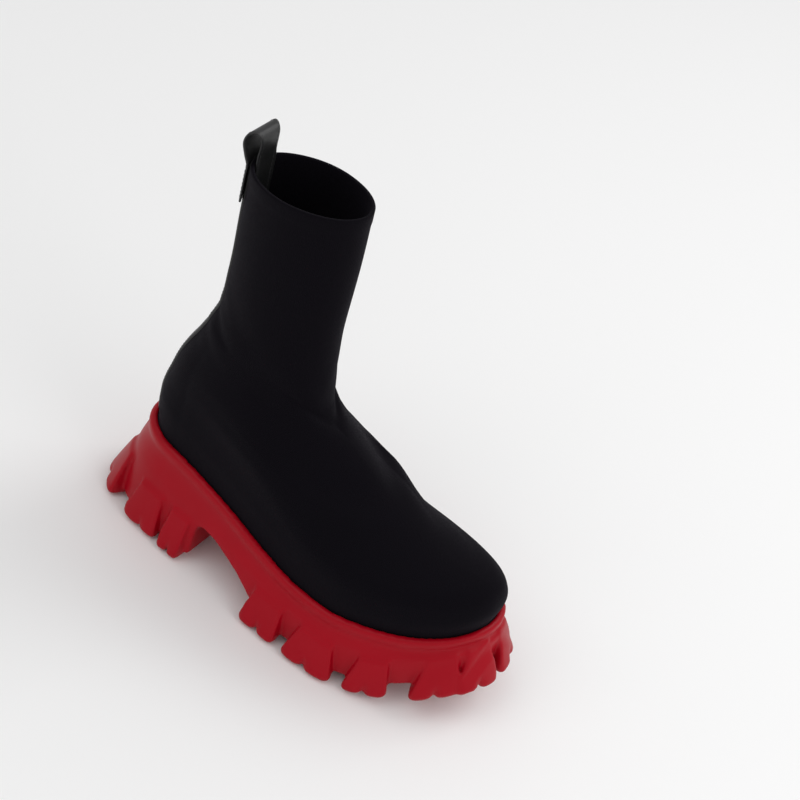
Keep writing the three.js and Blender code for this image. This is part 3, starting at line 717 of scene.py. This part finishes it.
# A closed plate between two grids of points, front faces out
def slab(name, front, back, uv=None):
    rows, columns = front.shape[:2]
    half = rows * columns
    points = np.concatenate([front.reshape(-1, 3), back.reshape(-1, 3)])

    def at(i, j):
        return i * columns + j

    faces = []
    for i in range(rows - 1):
        for j in range(columns - 1):
            faces.append((at(i, j), at(i, j + 1), at(i + 1, j + 1), at(i + 1, j)))
            faces.append(tuple(half + c for c in (at(i, j), at(i + 1, j), at(i + 1, j + 1), at(i, j + 1))))
        faces.append((at(i, 0), at(i + 1, 0), half + at(i + 1, 0), half + at(i, 0)))
        far = columns - 1
        faces.append((at(i + 1, far), at(i, far), half + at(i, far), half + at(i + 1, far)))
    for j in range(columns - 1):
        faces.append((at(0, j + 1), at(0, j), half + at(0, j), half + at(0, j + 1)))
        end = rows - 1
        faces.append((at(end, j), at(end, j + 1), half + at(end, j + 1), half + at(end, j)))
    if uv is not None:
        uv = np.concatenate([uv.reshape(-1, 2)] * 2)
    return asMesh(name, points, faces, uv)


insoleLook = {
    "thickness": 4.0,
    "columns": 25,
    "cup": 1.6,  # how far its edges rise round the heel
    "thread": 0.0012,  # metres from thread to thread
    "clear": 0.35,  # of the upper's wall
    "rounding": 1.2,
}


def makeInsole(finish):
    count, look = 160, insoleLook
    ring = outline(np.arange(count) / count, -foot["wall"] - look["clear"])
    half = count // 2
    outer, inner = ring[: half + 1], ring[(count - np.arange(half + 1)) % count]
    across = np.linspace(0, 1, look["columns"])[None, :, None]
    flat = mix(outer[:, None, :], inner[:, None, :], across)
    under = seatHeight(flat[..., 0]) + 0.3
    edgeDip = look["rounding"] * np.abs(2 * across[..., 0] - 1) ** 8
    cup = look["cup"] * (2 * across[..., 0] - 1) ** 2 * (1 - smoothStep(60, 130, flat[..., 0]))
    top = under + look["thickness"] - look["rounding"] + cup * 0.7 - edgeDip
    lower = np.concatenate([flat, under[..., None]], -1)
    upper = np.concatenate([flat, top[..., None]], -1)
    piece = slab("sockInsole", upper, lower, flat)
    mesh = bmesh.new()
    mesh.from_mesh(piece.data)
    bmesh.ops.remove_doubles(mesh, verts=mesh.verts, dist=0.00002)
    bmesh.ops.dissolve_degenerate(mesh, edges=mesh.edges, dist=0.00002)
    mesh.to_mesh(piece.data)
    mesh.free()
    finishPiece(piece, finish, ["insole"])


def makeInsoleCloth():
    finish = Finish("insoleCloth", {"Sheen Weight": 0.2, "Specular IOR Level": 0.25})
    u, v = finish.clothMap()
    turning = fullTurn / insoleLook["thread"]
    weave = ((u * turning).maths("SINE") * (v * turning).maths("SINE")) * 0.5 + 0.5
    cloudy = finish.noise(40, 3, 0.6)
    return finish.feed(
        # The weave's relief also sets the colour, darker where it lies low: painted shade between the
        # threads. The cloudy part is the cloth's own uneven tone.
        color=finish.blend(
            weave * 0.5 + cloudy * 0.5, (0.012, 0.012, 0.013, 1), (0.024, 0.023, 0.025, 1)
        ),
        roughness=cloudy * 0.1 + 0.82,
        normal=finish.bump(weave, 0.00015, 0.7),
    )


makeInsole(makeInsoleCloth())
print("stage: insole")


# The turn at which a strap's point lies, so many millimetres across from the heel line
def turnAcross(across, level):
    turns = np.linspace(-0.16, 0.16, 129)
    ring = upperPoint(turns, level)
    walked = np.concatenate([[0], np.cumsum(np.linalg.norm(np.diff(ring, axis=0), axis=1))])
    return np.interp(across, walked - walked[64], turns)


def levelAt(height):
    levels = np.linspace(0, 1, 400)
    return float(np.interp(height, upperPoint(0.0, levels)[:, 2], levels))


# Shares across a strap, close together at its rounded edges
strapShares = 0.5 - 0.5 * np.cos(np.linspace(0, math.pi, 15))


def acrossBack(level, out, width):
    turns = turnAcross(width * (strapShares - 0.5), level)
    return offUpper(turns, level, out + 0 * turns)


# A strap's edge: its faces close in over the rounding
def edgeShape(width, rounding):
    fromEdge = np.minimum(strapShares, 1 - strapShares) * width
    short = np.clip(1 - fromEdge / rounding, 0, 1)
    return np.sqrt(np.maximum(1 - short**2, 0))


stayLook = {"width": 20.0, "thickness": 1.2, "rows": 150, "inset": 2.4, "rounding": 1.1}
strapLook = {
    "width": 24.0,
    "thickness": 1.5,
    "height": 22.0,  # above the collar
    "leg": 26.0,  # below it
    "throat": 9.0,  # across the bow
    "gap": 0.3,
    "inset": 2.6,  # the stitches from the edge
    "rounding": 0.8,
    "legRows": 4,
    "between": 5,  # rows added between two
}


def makeLeather(name, dark, light, roughness):
    finish = Finish(name, {"Specular IOR Level": 0.5})
    cellSettings = {"Scale": 1100, "Vector": finish.place()}
    cells = finish.node("ShaderNodeTexVoronoi", {"feature": "DISTANCE_TO_EDGE"}, cellSettings)
    cloudy = finish.noise(35, 3, 0.55)
    fine = finish.noise(1800, 2, 0.6)
    grain = (cells * 6).maths("MINIMUM", 1)
    return finish.feed(
        color=finish.blend(grain * 0.35 + cloudy * 0.65, dark, light),
        roughness=cloudy * 0.14 + fine * 0.08 + (roughness - 0.1),
        normal=finish.bump(grain + fine * 0.4, 0.00006, 0.55),
    )


def makeStay(finish):
    look = stayLook
    levels = np.linspace(levelAt(foot["heelRise"] + 0.6), 0.998, look["rows"])
    edge = edgeShape(look["width"], look["rounding"])
    top, under = [], []
    for level in levels:
        under.append(acrossBack(level, 0.12, look["width"]))
        top.append(acrossBack(level, 0.14 + (0.16 + look["thickness"]) * edge, look["width"]))
    top, under = np.array(top), np.array(under)
    finishPiece(slab("heelStay", top, under), finish, ["back_stay"])


makeStay(makeLeather("stayLeather", (0.004, 0.0038, 0.0045, 1), (0.008, 0.0076, 0.0085, 1), 0.45))
strapLeather = makeLeather("strapLeather", (0.006, 0.006, 0.0063, 1), (0.013, 0.013, 0.0135, 1), 0.42)

# The loop's bow above the collar: up is a share of its height, out of half its throat
bowColumns = {
    "up": [0.3, 0.62, 0.86, 0.97, 1, 0.97, 0.86, 0.62, 0.3],
    "out": [0.8, 1, 0.85, 0.45, 0, -0.45, -0.85, -1, -0.8],
}


# A smooth curve through rows of points, with more rows between
def denser(rows, times):
    rows = np.asarray(rows)
    padded = np.concatenate([2 * rows[:1] - rows[1:2], rows, 2 * rows[-1:] - rows[-2:-1]])
    found = []
    for k in range(len(rows) - 1):
        a, b, c, d = padded[k : k + 4]
        for t in np.arange(times) / times:
            bent = (2 * a - 5 * b + 4 * c - d) * t**2 + (3 * b - a - 3 * c + d) * t**3
            found.append(0.5 * (2 * b + (c - a) * t + bent))
    return np.array(found + [rows[-1]])


def loopPath():
    look = strapLook
    collar = upperPoint(0.0, 1.0)
    outerOut = 2 * look["gap"] + stayLook["thickness"] + look["thickness"] / 2
    innerOut = -foot["wall"] - look["gap"] - look["thickness"] / 2
    between = (outerOut + innerOut) / 2
    back = upperNormal(0.0, 1.0) * [1, 1, 0]
    back = back / np.linalg.norm(back)

    def legRow(share, out):
        return acrossBack(levelAt(collar[2] - look["leg"] * share), out, look["width"])

    count = look["legRows"]
    path = [legRow(1 - i / count, outerOut) for i in range(count + 1)]
    for up, out in zip(bowColumns["up"], bowColumns["out"]):
        reach = between + out * look["throat"] / 2
        row = acrossBack(1.0, reach, look["width"])
        flat = collar + back * reach
        row[:, 0] = mix(row[:, 0], flat[0], min(2 * up, 1))
        row[:, 2] = collar[2] + up * look["height"]
        path.append(row)
    path += [legRow(i / count, innerOut) for i in range(count + 1)]
    return denser(path, look["between"])


# The way out of a strap's face at each of its points
def faceNormals(path):
    run = np.gradient(path, axis=0)
    across = np.gradient(path, axis=1)
    return unit(np.cross(across, run))


def makeLoop(finish):
    path = loopPath()
    out = faceNormals(path)
    edge = np.maximum(edgeShape(strapLook["width"], strapLook["rounding"]), 0.12)
    reach = strapLook["thickness"] / 2 * edge[None, :, None]
    strap = slab("pullLoopStrap", path + out * reach, path - out * reach)
    finishPiece(strap, finish, ["pull_loop"])
    return path, out


loopRows, loopOut = makeLoop(strapLeather)
print("stage: stay and loop")

stitchLook = {"pitch": 2.9, "length": 2.1, "thick": 0.5}


# A node tree that lays stitches along the lines of whatever it is put on
def stitchTree():
    tree = bpy.data.node_groups.new("sewnRow", "GeometryNodeTree")
    tree.interface.new_socket("Lines", in_out="INPUT", socket_type="NodeSocketGeometry")
    for name in ("Pitch", "Length", "Thick"):
        tree.interface.new_socket(name, in_out="INPUT", socket_type="NodeSocketFloat")
    tree.interface.new_socket("Thread", in_out="INPUT", socket_type="NodeSocketMaterial")
    tree.interface.new_socket("Stitches", in_out="OUTPUT", socket_type="NodeSocketGeometry")
    add, link = tree.nodes.new, tree.links.new
    given, result = add("NodeGroupInput"), add("NodeGroupOutput")
    curve, spread = add("GeometryNodeMeshToCurve"), add("GeometryNodeResampleCurve")
    points, place = add("GeometryNodeCurveToPoints"), add("GeometryNodeInstanceOnPoints")
    ball, size = add("GeometryNodeMeshUVSphere"), add("ShaderNodeCombineXYZ")
    real, paint = add("GeometryNodeRealizeInstances"), add("GeometryNodeSetMaterial")
    smooth = add("GeometryNodeSetShadeSmooth")
    spread.mode = "LENGTH"
    points.mode = "EVALUATED"
    ball.inputs["Segments"].default_value = 8
    ball.inputs["Rings"].default_value = 6
    ball.inputs["Radius"].default_value = 0.5
    link(given.outputs["Lines"], curve.inputs["Mesh"])
    link(curve.outputs["Curve"], spread.inputs["Curve"])
    link(given.outputs["Pitch"], spread.inputs["Length"])
    link(spread.outputs["Curve"], points.inputs["Curve"])
    link(points.outputs["Points"], place.inputs["Points"])
    link(points.outputs["Rotation"], place.inputs["Rotation"])
    link(ball.outputs["Mesh"], place.inputs["Instance"])
    for axis, name in zip("XYZ", ("Thick", "Thick", "Length")):
        link(given.outputs[name], size.inputs[axis])
    link(size.outputs[0], place.inputs["Scale"])
    link(place.outputs["Instances"], smooth.inputs["Geometry"])
    link(smooth.outputs["Geometry"], real.inputs["Geometry"])
    link(real.outputs["Geometry"], paint.inputs["Geometry"])
    link(given.outputs["Thread"], paint.inputs["Material"])
    link(paint.outputs["Geometry"], result.inputs["Stitches"])
    return tree


sewnRow = stitchTree()
thread = Finish("blackThread", {"Roughness": 0.6, "Sheen Weight": 0.15})
threadNoise = thread.noise(3000, 2, 0.5)
threadFinish = thread.feed(
    color=thread.blend(threadNoise, (0.014, 0.014, 0.015, 1), (0.028, 0.027, 0.03, 1)),
    normal=thread.bump(threadNoise, 0.00005, 0.5),
)


def sewLines(name, lines):
    points, edges = [], []
    for line in lines:
        edges += [(len(points) + k, len(points) + k + 1) for k in range(len(line) - 1)]
        points += [tuple(p) for p in (np.asarray(line) - [heelCentre, 0, 0]) * metre]
    mesh = bpy.data.meshes.new(name + "Lines")
    mesh.from_pydata(points, edges, [])
    guide = bpy.data.objects.new(name + "Lines", mesh)
    bpy.context.scene.collection.objects.link(guide)
    modifier = guide.modifiers.new("sewn", "NODES")
    modifier.node_group = sewnRow
    sizes = {"Pitch": stitchLook["pitch"], "Length": stitchLook["length"], "Thick": stitchLook["thick"]}
    for item in sewnRow.interface.items_tree:
        if item.in_out == "INPUT" and item.name in sizes:
            modifier[item.identifier] = sizes[item.name] * metre
        elif item.in_out == "INPUT" and item.name == "Thread":
            modifier[item.identifier] = threadFinish
    guide.update_tag()
    bpy.context.view_layer.update()
    made = bpy.data.meshes.new_from_object(guide.evaluated_get(bpy.context.evaluated_depsgraph_get()))
    bpy.data.objects.remove(guide)
    piece = bpy.data.objects.new(name, made)
    bpy.context.scene.collection.objects.link(piece)
    finishPiece(piece, threadFinish)


def sewStay():
    levels = np.linspace(0.03, 0.985, 160)
    lines = []
    for way in (-1, 1):
        across = way * (stayLook["width"] / 2 - stayLook["inset"])
        turns = np.array([float(turnAcross(across, level)) for level in levels])
        out = 0.3 + stayLook["thickness"] - 0.02 + 0 * levels
        below = levels < levelAt(upperPoint(0.0, 1.0)[2] - strapLook["leg"] - 0.5)
        lines.append(offUpper(turns, levels, out)[below])
    sewLines("stayStitches", lines)


def sewLoop():
    column = np.interp(strapLook["inset"] / strapLook["width"], strapShares, np.arange(len(strapShares)))
    left, right = int(round(column)), len(strapShares) - 1 - int(round(column))
    out = loopRows + loopOut * (strapLook["thickness"] / 2 - 0.02)
    start, legEnd = 2, 19  # rows: near the outer leg's foot, and just under the collar
    lines = [out[start:, left], out[start:, right]]
    lines += [out[row, left : right + 1] for row in (start, legEnd)]
    sewLines("loopStitches", lines)


sewStay()
sewLoop()
print("stage: stitches")

stageLook = {
    "floor": (0.93, 0.93, 0.93, 1),
    "floorDim": (0.92, 0.92, 0.92, 1),
    "world": (1.0, 1.0, 1.0, 1),
    "worldStrength": 0.66,
}


def makeStage():
    bpy.ops.mesh.primitive_plane_add(size=12, location=(0, 0, 0))
    floor = bpy.context.object
    floor.name = "floor"
    finish = Finish("paleFloor", {"Roughness": 0.75, "Specular IOR Level": 0.2})
    tone = finish.blend(finish.noise(1.5, 2, 0.5), stageLook["floorDim"], stageLook["floor"])
    floor.data.materials.append(finish.feed(color=tone))
    world = bpy.data.worlds.new("softSky")
    bpy.context.scene.world = world
    world.use_nodes = True
    sky = world.node_tree.nodes["Background"]
    sky.inputs["Color"].default_value = stageLook["world"]
    sky.inputs["Strength"].default_value = stageLook["worldStrength"]
    bpy.context.scene.view_settings.view_transform = "Standard"
    bpy.context.scene.view_settings.look = "None"


# A soft panel of light that faces the boot
def makePanel(name, place, size, power, target=(0.06, 0, 0.12)):
    lamp = bpy.data.lights.new(name, "AREA")
    lamp.shape = "RECTANGLE"
    lamp.size, lamp.size_y = size
    lamp.energy = power
    panel = bpy.data.objects.new(name, lamp)
    panel.location = place
    panel.rotation_euler = (Vector(target) - Vector(place)).to_track_quat("-Z", "Y").to_euler()
    bpy.context.scene.collection.objects.link(panel)


makeStage()
makePanel("keyPanel", (-0.5, -0.9, 1.5), (1.0, 1.0), 3.5)
makePanel("sidePanel", (1.3, -0.3, 1.0), (0.8, 1.2), 4)
makePanel("backPanel", (0.7, 1.0, 1.3), (1.0, 0.8), 7)

cameraLook = {
    "azimuth": 22.1,
    "elevation": 40.0,
    "roll": 19.5,
    "aim": (62.5, 0, 150),  # the point of the boot that the camera looks near
    "aimPixel": (308.6, 388.4),
    "distance": 1313.7,
    "focal": 2132.5,  # pixels
    "frameWidth": 800,
}


def makeCamera():
    look = cameraLook
    azimuth, elevation, roll = (math.radians(look[key]) for key in ("azimuth", "elevation", "roll"))
    level = math.cos(elevation)
    forward = Vector((-math.sin(azimuth) * level, math.cos(azimuth) * level, -math.sin(elevation)))
    right = Vector((math.cos(azimuth), math.sin(azimuth), 0))
    down = forward.cross(right)
    c, s = math.cos(roll), math.sin(roll)
    across, below = right * c - down * s, right * s + down * c
    half = look["frameWidth"] / 2
    offset = [(pixel - half) / look["focal"] * look["distance"] for pixel in look["aimPixel"]]
    place = Vector(look["aim"]) - across * offset[0] - below * offset[1] - forward * look["distance"]
    data = bpy.data.cameras.new("camera")
    data.sensor_width = 36
    data.lens = look["focal"] / look["frameWidth"] * data.sensor_width
    data.clip_start, data.clip_end = 0.05, 60
    camera = bpy.data.objects.new("camera", data)
    turned = Matrix((across, -below, -forward)).transposed().to_4x4()
    camera.matrix_world = Matrix.Translation(place * metre) @ turned
    bpy.context.scene.collection.objects.link(camera)
    bpy.context.scene.camera = camera


makeCamera()
bpy.context.view_layer.update()
print("stage: camera and lights")
